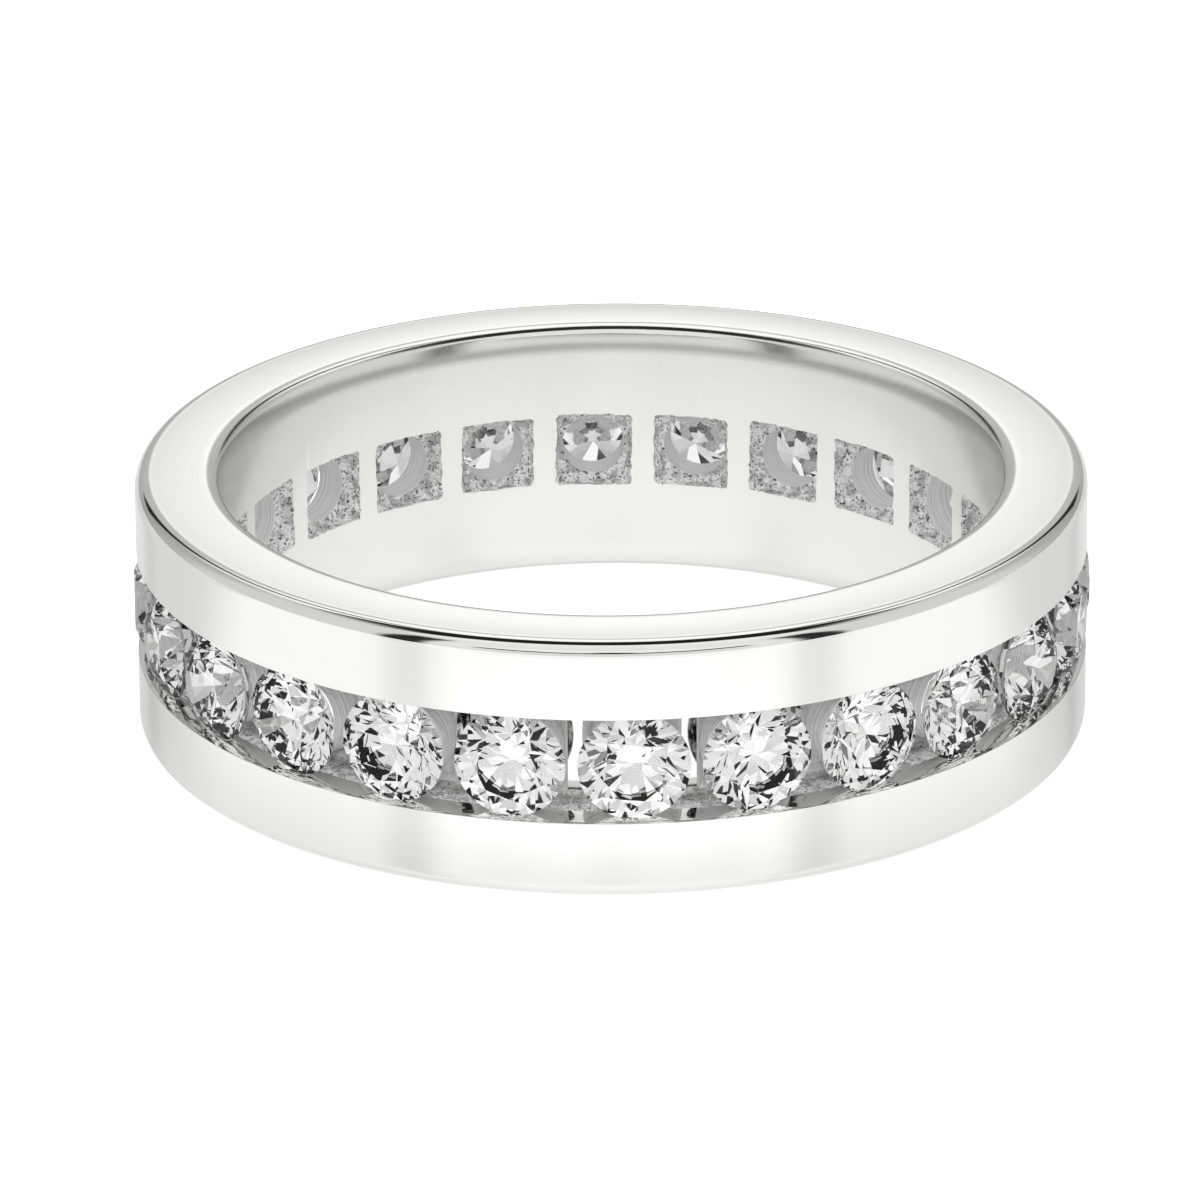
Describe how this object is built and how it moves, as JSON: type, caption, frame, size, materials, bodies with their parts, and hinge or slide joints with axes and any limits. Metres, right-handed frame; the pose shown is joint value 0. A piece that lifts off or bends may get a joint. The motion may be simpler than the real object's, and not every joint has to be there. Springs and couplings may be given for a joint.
{
  "type": "eternity band",
  "caption": "Flat white gold finger ring with a row of round brilliant-cut stones held in a channel between two polished rails.",
  "frame": {"origin": "centre of the finger hole at half the band's width", "axes": "+Z along the finger hole; -Y towards the front of the picture's view; the band lies on the face at -Z"},
  "size_m": [0.0214, 0.0214, 0.006],
  "materials": {
    "white_gold": "polished",
    "diamond": "polished"
  },
  "bodies": {
    "root": {"band": "white_gold", "stone_01": "diamond", "stone_02": "diamond", "stone_03": "diamond", "stone_04": "diamond", "stone_05": "diamond", "stone_06": "diamond", "stone_07": "diamond", "stone_08": "diamond", "stone_09": "diamond", "stone_10": "diamond", "stone_11": "diamond", "stone_12": "diamond", "stone_13": "diamond", "stone_14": "diamond", "stone_15": "diamond", "stone_16": "diamond", "stone_17": "diamond", "stone_18": "diamond", "stone_19": "diamond", "stone_20": "diamond", "stone_21": "diamond", "stone_22": "diamond", "stone_23": "diamond", "stone_24": "diamond"}
  },
  "joints": []
}
